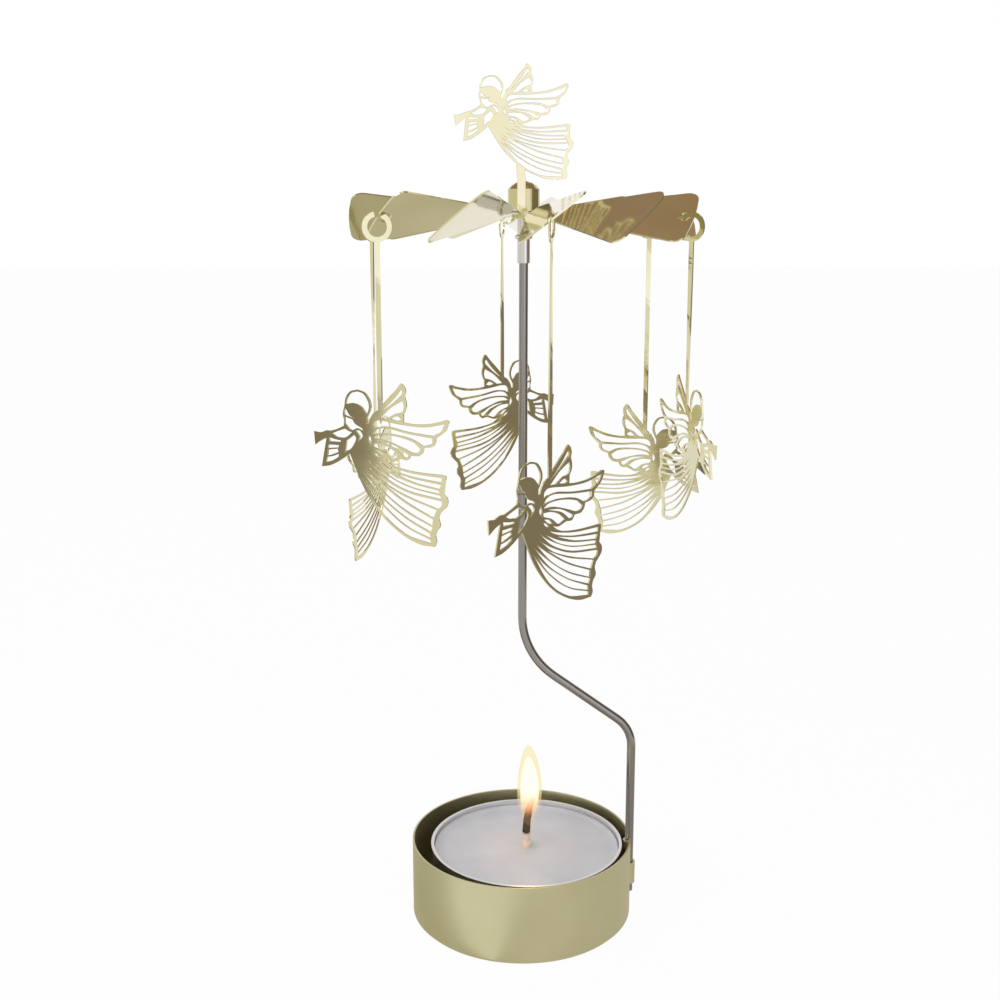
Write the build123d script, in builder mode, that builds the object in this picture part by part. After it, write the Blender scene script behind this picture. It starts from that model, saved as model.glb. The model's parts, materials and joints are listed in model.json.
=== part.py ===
"""Rotary candle carousel: a tealight cup with a bent wire rod, a twelve-bladed propeller turning
on a needle, six pierced sheet angels hanging from the blades and a seventh standing on the hub.

Millimetres, +Z up. The origin is the middle of the candle cup's underside. The rod stands at +X,
and azimuths are counted in degrees from -Y, the front, turning towards +X.
"""

import os
from math import cos, radians, sin, sqrt

from build123d import *

os.makedirs("parts", exist_ok=True)

# Sheet metal of the propeller and the angels, and the gap left between fitted pieces
sheet = 0.3
seat_clearance = 0.02

# Candle cup, drawn from thin tin
cup_radius = 22.2
cup_height = 16.1
cup_wall = 0.35
cup_corner = 0.9

# Rod, and the straps that are lanced from the cup's wall around its foot
rod_radius = 0.85
rod_foot = 4.0
rod_knee = 39.2
rod_elbow = 54.9
rod_top = 137.2
knee_radius = 7.0
elbow_radius = 15.0
strap_clearance = 0.05
outer_strap_low = 5.8
outer_strap_high = 10.4
inner_strap_low = 12.8
inner_strap_high = 15.1

# Tealight, which stands loose in the cup, a little towards the rod
tealight_radius = 19.1
tealight_height = 14.6
tealight_wall = 0.25
tealight_corner = 0.9
tealight_lip = 0.35
tealight_shift = 1.0
wax_depth = 12.9
wax_clearance = 0.05
wick_radius = 0.75
wick_sides = 8
wick_length = 6.5
wick_lean = 1.0
wick_bend = 4.0
clip_radius = 6.0
clip_sheet = 0.3
clip_neck = 3.2

# Pivot on top of the rod
sleeve_radius = 1.2
sleeve_bottom = 131.2
sleeve_top = 141.9
collar_radius = 1.65
collar_bottom = 135.5
collar_height = 0.9
collar_edge = 0.25
needle_radius = 0.5
needle_tip = 144.2
needle_point = 1.1
needle_flat = 0.06

# Hub, which holds the propeller and the top angel together
hub_radius = 2.95
hub_shoulder = 144.6
hub_top = 146.1
dome_strokes = 4
hub_bore = 1.5
spigot_radius = 1.8
ring_radius = 2.25
ring_bottom = 139.4
ring_height = 0.65
bearing_height = 1.4
bearing_cone_depth = 0.7
bearing_cone_radius = 0.85
bearing_clearance = 0.05

# Propeller, stamped from one sheet and twisted at the roots of its blades
blade_count = 12
first_blade = 8.0
propeller_radius = 32.2
disc_reach = 5.0
neck_width = 2.5
blade_root = 8.0
blade_root_width = 3.2
blade_width = 14.6
blade_corner = 2.0
arc_strokes = 4
blade_pitch = 37.0
blade_droop = 1.8
hook_hole_radius = 1.2
hole_sides = 16
hook_bridge = 0.45

# Pendants: an open ring, a long stem and the angel, cut from one sheet
loop_outer = 2.6
loop_sides = 24
loop_strip = 0.9
loop_gap = 0.9
loop_turn = 20.0
loop_drop = 0.5
long_stem = 40.6
short_stem = 31.0
twist_spans = 4

# How far each angel's plane is turned from the circle's tangent, from the front one on
angel_turns = (39.0, 34.0, 10.0, 33.0, 5.0, 20.0)
angel_names = (
    "angel_pendant_front",
    "angel_pendant_right",
    "angel_pendant_back_right",
    "angel_pendant_back",
    "angel_pendant_back_left",
    "angel_pendant_left",
)

# The top angel stands on a strip in front of the hub, whose foot is bent in under the hub cap
top_turn = 14.2
top_tilt = 7.3
top_side = -3.45
top_rise = 16.5
strip_gap = 0.35
strip_side = -1.4
strip_width = 1.55
strip_bend = 0.3
foot_radius = 2.75

# The angels are drawn in steps from the point where the stem meets the wing, right and down.
# Each run goes on from the last one's end.
drawing_step = 1.0
top_step = 0.729
stem_share = 0.45
stub_share = 1.2
strip_shares = ((-0.95, 18.25), (1.05, 20.1))

outline_shares = [
    [(stem_share, -stub_share), (stem_share, -0.4)],
    [(stem_share, -0.4), (1.9, -1.85), (3.4, -3.2), (4.35, -4.25)],
    [(4.35, -4.25), (4.75, -4.45), (5.35, -3.9), (5.62, -3.1), (5.4, -2.15)],
    [(5.4, -2.15), (5.72, -1.1), (5.65, -0.1), (5.1, 0.85)],
    [(5.1, 0.85), (5.05, 2.3)],
    [(5.05, 2.3), (7.0, 2.42), (9.6, 2.28), (12.2, 1.75), (13.9, 1.2)],
    [(13.9, 1.2), (14.6, 1.35), (14.4, 2.2), (13.6, 3.4), (11.85, 4.65)],
    [(11.85, 4.65), (11.8, 5.3), (11.1, 6.1), (9.4, 6.4)],
    [(9.4, 6.4), (9.15, 7.2), (8.3, 7.95), (6.6, 8.05)],
    [(6.6, 8.05), (5.8, 8.92), (4.3, 8.85)],
    [(4.3, 8.85), (2.4, 9.42), (0.95, 9.2)],
    [(0.95, 9.2), (2.2, 9.95), (4.2, 10.5), (8.0, 10.82), (13.0, 10.8)],
    [(13.0, 10.8), (13.9, 11.05), (13.7, 12.6), (13.5, 14.1)],
    [(13.5, 14.1), (14.2, 14.95), (14.1, 16.2), (12.6, 17.7)],
    [(12.6, 17.7), (12.35, 18.6), (12.65, 19.9), (11.9, 20.9)],
    [(11.9, 20.9), (11.65, 21.8), (11.85, 22.9), (11.4, 23.8)],
    [(11.4, 23.8), (8.0, 23.7), (4.0, 22.25), (0.0, 19.5), (-3.9, 14.95), (-6.95, 8.95)],
    [(-6.95, 8.95), (-9.2, 10.4), (-11.5, 11.5), (-13.55, 11.9)],
    [(-13.55, 11.9), (-12.3, 6.55)],
    [(-12.3, 6.55), (-13.6, 7.15), (-14.95, 8.05)],
    [(-14.95, 8.05), (-15.15, 5.5)],
    [(-15.15, 5.5), (-13.6, 5.55), (-12.2, 5.1)],
    [(-12.2, 5.1), (-11.2, 5.05), (-9.8, 4.65), (-8.2, 3.95)],
    [(-8.2, 3.95), (-8.1, 3.0), (-8.35, 1.8), (-7.95, 0.3)],
    [(-7.95, 0.3), (-7.6, -1.2), (-6.6, -2.35), (-4.95, -2.8)],
    [(-4.95, -2.8), (-3.3, -2.35), (-2.25, -1.15), (-1.95, 0.3), (-2.6, 1.7)],
    [(-2.6, 1.7), (-2.95, 2.2)],
    [(-2.95, 2.2), (-2.95, 3.1)],
    [(-2.95, 3.1), (-2.55, 3.1)],
    [(-2.55, 3.1), (-2.3, 2.3), (-1.5, 1.2), (-stem_share, 0.55)],
    [(-stem_share, 0.55), (-stem_share, -stub_share)],
    [(-stem_share, -stub_share), (stem_share, -stub_share)],
]

opening_shares = [
    # halo
    [
        [(-7.5, -0.1), (-7.1, -1.2), (-6.2, -2.1), (-4.95, -2.42)],
        [(-4.95, -2.42), (-3.7, -2.1), (-2.75, -1.0), (-2.45, 0.2), (-2.9, 1.45)],
        [(-2.9, 1.45), (-4.2, 0.15), (-5.8, -0.3), (-7.5, -0.1)],
    ],
    # brow
    [
        [(-7.7, 0.75), (-7.98, 1.35), (-7.9, 1.95)],
        [(-7.9, 1.95), (-5.85, 2.42)],
        [(-5.85, 2.42), (-6.9, 1.9), (-7.7, 0.75)],
    ],
    # cheek
    [
        [(-7.88, 2.3), (-6.2, 2.7)],
        [(-6.2, 2.7), (-5.6, 3.45), (-4.05, 4.1)],
        [(-4.05, 4.1), (-3.85, 4.5)],
        [(-3.85, 4.5), (-5.2, 4.15), (-6.5, 4.6), (-7.85, 3.5)],
        [(-7.85, 3.5), (-7.88, 2.3)],
    ],
    # collar
    [
        [(-5.5, 4.6), (-4.55, 4.6), (-3.98, 5.5), (-4.9, 6.5)],
        [(-4.9, 6.5), (-4.62, 5.6), (-5.5, 4.6)],
    ],
    # between trumpet and arm
    [
        [(-6.4, 5.0), (-7.1, 4.85), (-7.9, 4.5)],
        [(-7.9, 4.5), (-9.3, 4.95), (-10.9, 5.6)],
        [(-10.9, 5.6), (-9.6, 6.1), (-7.8, 6.0), (-6.4, 5.0)],
    ],
    # between arm and body
    [
        [(-5.8, 5.45), (-5.5, 6.2), (-6.5, 7.8), (-8.0, 8.85)],
        [(-8.0, 8.85), (-7.55, 6.6)],
        [(-7.55, 6.6), (-5.8, 5.45)],
    ],
    # sleeve
    [
        [(-11.6, 6.35), (-10.2, 6.6), (-9.0, 6.7)],
        [(-9.0, 6.7), (-9.0, 6.98)],
        [(-9.0, 6.98), (-11.5, 7.05)],
        [(-11.5, 7.05), (-11.6, 6.35)],
    ],
    [
        [(-11.75, 7.7), (-9.45, 7.6)],
        [(-9.45, 7.6), (-9.55, 8.0)],
        [(-9.55, 8.0), (-11.85, 8.3)],
        [(-11.85, 8.3), (-11.75, 7.7)],
    ],
    [
        [(-11.95, 8.65), (-9.75, 8.3)],
        [(-9.75, 8.3), (-9.55, 8.85)],
        [(-9.55, 8.85), (-10.8, 9.35), (-12.05, 9.65)],
        [(-12.05, 9.65), (-11.95, 8.65)],
    ],
    [
        [(-12.15, 10.0), (-10.8, 9.72), (-9.5, 9.25)],
        [(-9.5, 9.25), (-9.6, 9.75)],
        [(-9.6, 9.75), (-10.9, 10.5), (-12.45, 10.95)],
        [(-12.45, 10.95), (-12.15, 10.0)],
    ],
    # upper wing
    [
        [(0.35, 0.75), (1.9, -0.6), (3.2, -1.8), (4.55, -3.4)],
        [(4.55, -3.4), (4.88, -3.0), (4.7, -2.45)],
        [(4.7, -2.45), (2.6, -0.75), (0.35, 0.75)],
    ],
    [
        [(0.05, 1.93), (2.4, -0.05), (4.9, -1.4)],
        [(4.9, -1.4), (5.15, -0.4), (4.85, 0.55)],
        [(4.85, 0.55), (3.1, 1.05), (1.55, 1.93)],
        [(1.55, 1.93), (0.05, 1.93)],
    ],
    [
        [(2.45, 1.9), (3.7, 1.33), (4.6, 1.9)],
        [(4.6, 1.9), (3.6, 2.1), (2.45, 1.9)],
    ],
    # feathers of the lower wing
    [
        [(-1.55, 3.95), (-1.4, 2.95), (0.0, 2.38), (4.5, 2.78), (9.5, 2.8), (13.7, 1.95)],
        [(13.7, 1.95), (12.9, 3.3), (11.3, 4.15)],
        [(11.3, 4.15), (6.0, 3.87), (2.0, 3.32), (-0.4, 3.52), (-1.55, 3.95)],
    ],
    [
        [(-1.65, 4.95), (-0.6, 3.98), (1.5, 3.66), (6.0, 4.25), (11.1, 4.62)],
        [(11.1, 4.62), (11.0, 5.55), (9.15, 6.1)],
        [(9.15, 6.1), (6.5, 5.0), (2.5, 4.55), (-0.2, 4.65), (-1.65, 4.95)],
    ],
    [
        [(-1.6, 5.68), (-0.2, 5.0), (3.0, 4.9), (6.8, 5.55), (8.6, 6.7)],
        [(8.6, 6.7), (8.1, 7.35), (6.9, 7.5)],
        [(6.9, 7.5), (4.0, 6.55), (1.0, 5.75), (-1.6, 5.68)],
    ],
    [
        [(-0.5, 6.05), (2.8, 6.5), (6.0, 7.95)],
        [(6.0, 7.95), (5.8, 8.4), (5.1, 8.45)],
        [(5.1, 8.45), (3.0, 7.0), (-0.5, 6.05)],
    ],
    [
        [(-1.65, 6.5), (0.5, 6.62), (2.6, 7.4), (4.0, 8.45)],
        [(4.0, 8.45), (2.3, 8.95), (0.6, 7.85), (-1.6, 7.1)],
        [(-1.6, 7.1), (-1.65, 6.5)],
    ],
    [
        [(-1.4, 7.65), (-0.2, 7.85), (0.7, 8.65)],
        [(0.7, 8.65), (-0.3, 8.45), (-1.4, 7.65)],
    ],
    [
        [(-1.6, 8.2), (-0.85, 8.45), (-0.15, 9.1)],
        [(-0.15, 9.1), (-1.05, 8.85), (-1.6, 8.2)],
    ],
    # shoulder
    [
        [(-2.35, 5.15), (-2.05, 6.1), (-2.1, 7.0)],
        [(-2.1, 7.0), (-2.7, 6.1), (-2.35, 5.15)],
    ],
    # pleats of the skirt, from the back seam to the front hem
    [
        [(0.0, 9.92), (2.6, 10.55), (7.0, 11.2), (13.0, 11.35)],
        [(13.0, 11.35), (13.0, 12.15)],
        [(13.0, 12.15), (6.5, 11.72), (2.2, 10.85), (0.0, 9.92)],
    ],
    [
        [(2.0, 11.2), (7.0, 12.1), (12.9, 12.6)],
        [(12.9, 12.6), (12.5, 13.35)],
        [(12.5, 13.35), (7.0, 12.68), (2.0, 11.2)],
    ],
    [
        [(-0.7, 10.55), (2.5, 11.9), (7.0, 13.02), (12.4, 13.65)],
        [(12.4, 13.65), (12.5, 14.2)],
        [(12.5, 14.2), (7.0, 13.65), (2.5, 12.4), (-0.7, 10.55)],
    ],
    [
        [(-2.3, 10.15), (1.0, 11.98), (6.0, 13.7), (12.6, 14.5)],
        [(12.6, 14.5), (12.9, 15.1)],
        [(12.9, 15.1), (6.0, 14.35), (1.0, 12.6), (-2.3, 10.15)],
    ],
    [
        [(-2.2, 11.35), (1.0, 13.05), (6.0, 14.75), (13.0, 15.5)],
        [(13.0, 15.5), (12.9, 16.35), (12.1, 16.9)],
        [(12.1, 16.9), (6.0, 15.4), (1.0, 13.6), (-2.2, 11.35)],
    ],
    [
        [(-0.2, 13.35), (5.0, 15.45), (11.9, 17.15)],
        [(11.9, 17.15), (11.2, 18.6)],
        [(11.2, 18.6), (5.0, 16.25), (-0.2, 13.35)],
    ],
    [
        [(-3.2, 11.8), (0.3, 14.0), (5.0, 16.6), (11.1, 18.9)],
        [(11.1, 18.9), (10.95, 20.05)],
        [(10.95, 20.05), (5.0, 17.85), (0.3, 15.05), (-3.2, 11.8)],
    ],
    [
        [(-3.7, 12.35), (0.0, 15.1), (5.0, 18.15), (11.0, 20.35)],
        [(11.0, 20.35), (10.6, 21.2)],
        [(10.6, 21.2), (5.0, 19.1), (0.0, 16.0), (-3.7, 12.35)],
    ],
    [
        [(-3.2, 13.75), (0.0, 16.35), (5.0, 19.35), (10.4, 21.55)],
        [(10.4, 21.55), (10.5, 22.35)],
        [(10.5, 22.35), (5.0, 20.6), (0.0, 17.2), (-3.2, 13.75)],
    ],
    [
        [(-4.1, 13.35), (0.0, 17.5), (5.0, 20.85), (10.5, 22.65)],
        [(10.5, 22.65), (10.6, 23.25)],
        [(10.6, 23.25), (5.0, 22.2), (0.0, 18.9), (-4.1, 13.35)],
    ],
]


def drawn(runs, step):
    """One closed outline of the angel, in straight strokes from point to point."""
    corners = [Vector(x, -y) * step for run in runs for x, y in run[:-1]]
    with BuildLine() as outline:
        Polyline(*corners, close=True)
    return outline.edges()


def radial(azimuth):
    """Unit vector from the axis outwards."""
    return Vector(sin(radians(azimuth)), -cos(radians(azimuth)), 0)


def tangent(azimuth):
    """Unit vector along the circle, the way azimuths grow."""
    return Vector(cos(radians(azimuth)), sin(radians(azimuth)), 0)


def upright(origin, along):
    """Vertical plane through origin whose X runs along a level direction and whose Y is up."""
    return Plane(origin=origin, x_dir=along, z_dir=along.cross(Vector(0, 0, 1)))


# The candle cup: a drawn cup whose wall is lanced around the rod, one strap pressed outwards
# and, above it, one pressed inwards
strap_inside = rod_radius + strap_clearance
strap_outside = strap_inside + cup_wall
rod_line = cup_radius - cup_wall / 2
straps = (
    (outer_strap_low, outer_strap_high, Align.MAX),
    (inner_strap_low, inner_strap_high, Align.MIN),
)

with BuildPart() as candle_cup:
    with BuildSketch():
        Circle(cup_radius)
    extrude(amount=cup_height)
    chamfer(candle_cup.faces().sort_by(Axis.Z)[0].edges(), length=cup_corner)
    offset(amount=-cup_wall, openings=candle_cup.faces().sort_by(Axis.Z)[-1])
    with BuildSketch(Plane.XY.offset(rod_foot)):
        with Locations((rod_line, 0)):
            Circle(strap_inside)
    extrude(amount=cup_height - rod_foot, mode=Mode.SUBTRACT)
    for low, high, hidden_side in straps:
        with BuildSketch(Plane.XY.offset(low)):
            with Locations((rod_line, 0)):
                Circle(strap_outside)
                Circle(strap_inside, mode=Mode.SUBTRACT)
                Rectangle(
                    2 * strap_outside,
                    2 * strap_outside,
                    align=(hidden_side, Align.CENTER),
                    mode=Mode.SUBTRACT,
                )
        extrude(amount=high - low)
candle_cup.part.label = "candle_cup"
export_step(candle_cup.part, "parts/candle_cup.step")

# The rod: one wire, up from the cup's wall, across to the middle and up to the pivot
with BuildPart() as support_rod:
    with BuildLine() as rod_path:
        FilletPolyline(
            (rod_line, 0, rod_foot),
            (rod_line, 0, rod_knee),
            (0, 0, rod_elbow),
            (0, 0, rod_top),
            radius=[knee_radius, elbow_radius],
        )
    with BuildSketch(Plane.XY.offset(rod_foot)):
        with Locations((rod_line, 0)):
            Circle(rod_radius)
    sweep()
support_rod.part.label = "support_rod"
export_step(support_rod.part, "parts/support_rod.step")

# The tealight's aluminium cup with its flanged rim, the wick on its sheet clip, and the wax
with BuildPart() as tealight_cup:
    with BuildSketch(Plane.XY.offset(cup_wall)):
        with Locations((tealight_shift, 0)):
            Circle(tealight_radius)
    extrude(amount=tealight_height)
    chamfer(tealight_cup.faces().sort_by(Axis.Z)[0].edges(), length=tealight_corner)
    offset(amount=-tealight_wall, openings=tealight_cup.faces().sort_by(Axis.Z)[-1])
    with BuildSketch(Plane.XY.offset(cup_wall + tealight_height)):
        with Locations((tealight_shift, 0)):
            Circle(tealight_radius + tealight_lip)
            Circle(tealight_radius - tealight_wall, mode=Mode.SUBTRACT)
    extrude(amount=-tealight_wall)
tealight_cup.part.label = "tealight_cup"
export_step(tealight_cup.part, "parts/tealight_cup.step")

wax_bottom = cup_wall + tealight_wall
wax_top = wax_bottom + wax_depth
clip_top = wax_bottom + clip_sheet
neck_bore = wick_radius + seat_clearance
neck_radius = neck_bore + clip_sheet

with BuildPart() as wick_clip:
    with BuildSketch(Plane.XY.offset(wax_bottom)):
        with Locations((tealight_shift, 0)):
            Circle(clip_radius)
    extrude(amount=clip_sheet)
    with BuildSketch(Plane.XY.offset(clip_top)):
        with Locations((tealight_shift, 0)):
            Circle(neck_radius)
            Circle(neck_bore, mode=Mode.SUBTRACT)
    extrude(amount=clip_neck)
wick_clip.part.label = "wick_clip"
export_step(wick_clip.part, "parts/wick_clip.step")

with BuildPart() as wick:
    with BuildLine() as wick_path:
        FilletPolyline(
            (tealight_shift, 0, clip_top),
            (tealight_shift, 0, wax_top),
            (tealight_shift + wick_lean, 0, wax_top + wick_length),
            radius=wick_bend,
        )
    with BuildSketch(Plane.XY.offset(clip_top)):
        with Locations((tealight_shift, 0)):
            RegularPolygon(wick_radius, wick_sides)
    sweep()
wick.part.label = "wick"
export_step(wick.part, "parts/wick.step")

with BuildPart() as wax:
    with BuildSketch(Plane.XY.offset(wax_bottom + wax_clearance)):
        with Locations((tealight_shift, 0)):
            Circle(tealight_radius - tealight_wall - wax_clearance)
    extrude(amount=wax_depth - wax_clearance)
    chamfer(wax.faces().sort_by(Axis.Z)[0].edges(), length=tealight_corner)
    for hollow_radius, hollow_top in (
        (clip_radius, clip_top),
        (neck_radius, clip_top + clip_neck),
        (wick_radius, wax_top),
    ):
        with BuildSketch(Plane.XY.offset(wax_bottom)):
            with Locations((tealight_shift, 0)):
                Circle(hollow_radius + wax_clearance)
        extrude(amount=hollow_top + wax_clearance - wax_bottom, mode=Mode.SUBTRACT)
wax.part.label = "wax"
export_step(wax.part, "parts/wax.step")

# The pivot: a sleeve with a collar on the rod, and the needle in its upper end
sleeve_bore = rod_radius + seat_clearance

with BuildPart() as pivot_sleeve:
    with BuildSketch(Plane.XZ):
        with BuildLine():
            Polyline(
                (sleeve_bore, sleeve_bottom),
                (sleeve_radius, sleeve_bottom),
                (sleeve_radius, collar_bottom),
                (collar_radius, collar_bottom),
                (collar_radius, collar_bottom + collar_height),
                (sleeve_radius, collar_bottom + collar_height),
                (sleeve_radius, sleeve_top),
                (sleeve_bore, sleeve_top),
                close=True,
            )
        make_face()
        chamfer(vertices().group_by(Axis.X)[-1], length=collar_edge)
    revolve(axis=Axis.Z)
pivot_sleeve.part.label = "pivot_sleeve"
export_step(pivot_sleeve.part, "parts/pivot_sleeve.step")

with BuildPart() as pivot_needle:
    with BuildSketch(Plane.XZ):
        with BuildLine():
            Polyline(
                (0, rod_top),
                (rod_radius, rod_top),
                (rod_radius, sleeve_top),
                (needle_radius, sleeve_top),
                (needle_radius, needle_tip - needle_point),
                (needle_flat, needle_tip),
                (0, needle_tip),
                close=True,
            )
        make_face()
    revolve(axis=Axis.Z)
pivot_needle.part.label = "pivot_needle"
export_step(pivot_needle.part, "parts/pivot_needle.step")

# The hub: a turned cap whose spigot goes down through the top angel's foot and the propeller,
# a ring that holds them on it, and the bearing that stands on the needle
disc_bottom = ring_bottom + ring_height
disc_top = disc_bottom + sheet
cap_bottom = disc_top + sheet
seat_radius = spigot_radius + seat_clearance
bearing_bottom = needle_tip + bearing_clearance - bearing_cone_depth
bearing_top = bearing_bottom + bearing_height
dome_height = hub_top - hub_shoulder
dome_radius = (hub_radius**2 + dome_height**2) / (2 * dome_height)

with BuildPart() as hub_cap:
    with BuildSketch(Plane.XZ):
        with BuildLine():
            dome = RadiusArc((0, hub_top), (hub_radius, hub_shoulder), dome_radius, mode=Mode.PRIVATE)
            Polyline(
                *[dome @ (stroke / dome_strokes) for stroke in range(dome_strokes + 1)],
                (hub_radius, cap_bottom),
                (spigot_radius, cap_bottom),
                (spigot_radius, ring_bottom),
                (hub_bore, ring_bottom),
                (hub_bore, bearing_top),
                (0, bearing_top),
                close=True,
            )
        make_face()
    revolve(axis=Axis.Z)
hub_cap.part.label = "hub_cap"
export_step(hub_cap.part, "parts/hub_cap.step")

with BuildPart() as pivot_bearing:
    with BuildSketch(Plane.XZ):
        with BuildLine():
            Polyline(
                (0, bearing_bottom + bearing_cone_depth),
                (bearing_cone_radius, bearing_bottom),
                (hub_bore - seat_clearance, bearing_bottom),
                (hub_bore - seat_clearance, bearing_top),
                (0, bearing_top),
                close=True,
            )
        make_face()
    revolve(axis=Axis.Z)
pivot_bearing.part.label = "pivot_bearing"
export_step(pivot_bearing.part, "parts/pivot_bearing.step")

with BuildPart() as retaining_ring:
    with BuildSketch(Plane.XY.offset(ring_bottom)):
        Circle(ring_radius)
        Circle(seat_radius, mode=Mode.SUBTRACT)
    extrude(amount=ring_height)
retaining_ring.part.label = "retaining_ring"
export_step(retaining_ring.part, "parts/retaining_ring.step")

# The propeller: twelve blades and the disc between them, in one sheet. A blade is flat, and its
# neck is twisted from the level disc to the blade's pitch.
up = Vector(0, 0, 1)
blade_level = disc_bottom + sheet / 2
edge_reach = sqrt(propeller_radius**2 - (blade_width / 2) ** 2)
hole_reach = propeller_radius - hook_bridge - hook_hole_radius


def blade_plane(azimuth):
    """Plane of one blade: its origin is the root, X runs outwards and Y across, the way it turns."""
    root = radial(azimuth) * blade_root + up * blade_level
    outwards = radial(azimuth) * cos(radians(blade_droop)) - up * sin(radians(blade_droop))
    level = outwards.cross(tangent(azimuth))
    across = tangent(azimuth) * cos(radians(blade_pitch)) + level * sin(radians(blade_pitch))
    return Plane(origin=root, x_dir=outwards, z_dir=outwards.cross(across))


# The blade's outline, from its root: straight sides, the circle's arc, and rounded corners
with BuildSketch() as blade_shape:
    with BuildLine():
        Line((0, blade_root_width / 2), (edge_reach - blade_root, blade_width / 2))
        ThreePointArc(
            (edge_reach - blade_root, blade_width / 2),
            (propeller_radius - blade_root, 0),
            (edge_reach - blade_root, -blade_width / 2),
        )
        Polyline(
            (edge_reach - blade_root, -blade_width / 2),
            (0, -blade_root_width / 2),
            (0, blade_root_width / 2),
        )
    make_face()
    fillet(vertices().group_by(Axis.X)[-1], radius=blade_corner)
blade_outline = [
    edge @ (stroke / arc_strokes)
    for edge in blade_shape.wire().order_edges()
    for stroke in range(arc_strokes if edge.geom_type == GeomType.CIRCLE else 1)
]

with BuildPart() as propeller:
    with BuildSketch(Plane.XY.offset(disc_bottom)):
        RegularPolygon(disc_reach, blade_count, major_radius=False, rotation=first_blade)
        Circle(seat_radius, mode=Mode.SUBTRACT)
    extrude(amount=sheet)
    for index in range(blade_count):
        azimuth = first_blade + 360 / blade_count * index
        plane = blade_plane(azimuth)
        with BuildSketch(plane):
            with BuildLine():
                Polyline(*blade_outline, close=True)
            make_face()
            if index % 2 == 0:
                with Locations((hole_reach - blade_root, 0)):
                    RegularPolygon(hook_hole_radius, hole_sides, mode=Mode.SUBTRACT)
        extrude(amount=sheet / 2, both=True)
        neck_plane = Plane(
            origin=radial(azimuth) * disc_reach + up * blade_level,
            x_dir=tangent(azimuth),
            z_dir=radial(azimuth),
        )
        with BuildSketch(neck_plane):
            Rectangle(neck_width, sheet)
        with BuildSketch(Plane(origin=plane.origin, x_dir=plane.y_dir, z_dir=plane.x_dir)):
            Rectangle(blade_root_width, sheet)
        loft(ruled=True)
propeller.part.label = "propeller"
export_step(propeller.part, "parts/propeller.step")

# The pendants: each hooks over the bridge of sheet between the hole and the blade's edge, with
# its ring turned from the blade's line, and its stem is twisted down to the angel's plane
loop_inner = loop_outer - loop_strip
stem_width = 2 * stem_share * drawing_step
stub = stub_share * drawing_step

for index, name in enumerate(angel_names):
    azimuth = first_blade + 360 / len(angel_names) * index
    plane = blade_plane(azimuth)
    loop_direction = radial(azimuth - loop_turn)
    slope = -loop_direction.dot(plane.z_dir) / plane.z_dir.Z
    trace = (loop_direction + up * slope).normalized()
    bridge_end = (propeller_radius - hole_reach) / trace.dot(plane.x_dir)
    hole = plane.from_local_coords((hole_reach - blade_root, 0, 0))
    hinge = hole + trace * (hook_hole_radius + bridge_end) / 2
    loop_middle = hinge - up * (loop_inner - loop_drop)
    joint = loop_middle - up * (long_stem if index % 2 == 0 else short_stem)
    angel_direction = tangent(azimuth + angel_turns[index])

    with BuildPart() as pendant:
        with BuildSketch(upright(loop_middle, loop_direction)):
            RegularPolygon(loop_outer, loop_sides)
            RegularPolygon(loop_inner, loop_sides, mode=Mode.SUBTRACT)
            with Locations((-stem_width / 2, 0)):
                Rectangle(loop_gap, loop_outer, align=(Align.MAX, Align.MAX), mode=Mode.SUBTRACT)
            with Locations((0, -loop_inner)):
                Rectangle(stem_width, loop_outer, align=(Align.CENTER, Align.MAX))
        extrude(amount=sheet / 2, both=True)
        with BuildSketch(upright(joint, angel_direction)):
            make_face(drawn(outline_shares, drawing_step))
            for opening in opening_shares:
                make_face(drawn(opening, drawing_step), mode=Mode.SUBTRACT)
        extrude(amount=sheet / 2, both=True)
        stem_top = loop_middle - up * (loop_inner + loop_outer)
        stem_bottom = joint + up * stub
        twist = 90 - loop_turn - angel_turns[index]
        for span in range(twist_spans):
            for end in (span / twist_spans, (span + 1) / twist_spans):
                middle = stem_top + (stem_bottom - stem_top) * end
                across = tangent(azimuth + 90 - loop_turn - twist * end)
                with BuildSketch(Plane(origin=middle, x_dir=across, z_dir=-up)):
                    Rectangle(stem_width, sheet)
            loft(ruled=True)
    pendant.part.label = name
    export_step(pendant.part, f"parts/{name}.step")

# The top angel, on its strip, with the foot that the hub cap clamps to the propeller
strip_reach = hub_radius + strip_gap + sheet / 2
front = upright(radial(top_turn) * strip_reach, tangent(top_turn))
leaning = Plane(
    origin=front.from_local_coords((top_side, hub_top + top_rise, 0)),
    x_dir=tangent(top_turn) * cos(radians(top_tilt)) + up * sin(radians(top_tilt)),
    z_dir=front.z_dir,
)
strip_ends = [
    front.to_local_coords(leaning.from_local_coords((x * top_step, -y * top_step, 0)))
    for x, y in strip_shares
]

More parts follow.
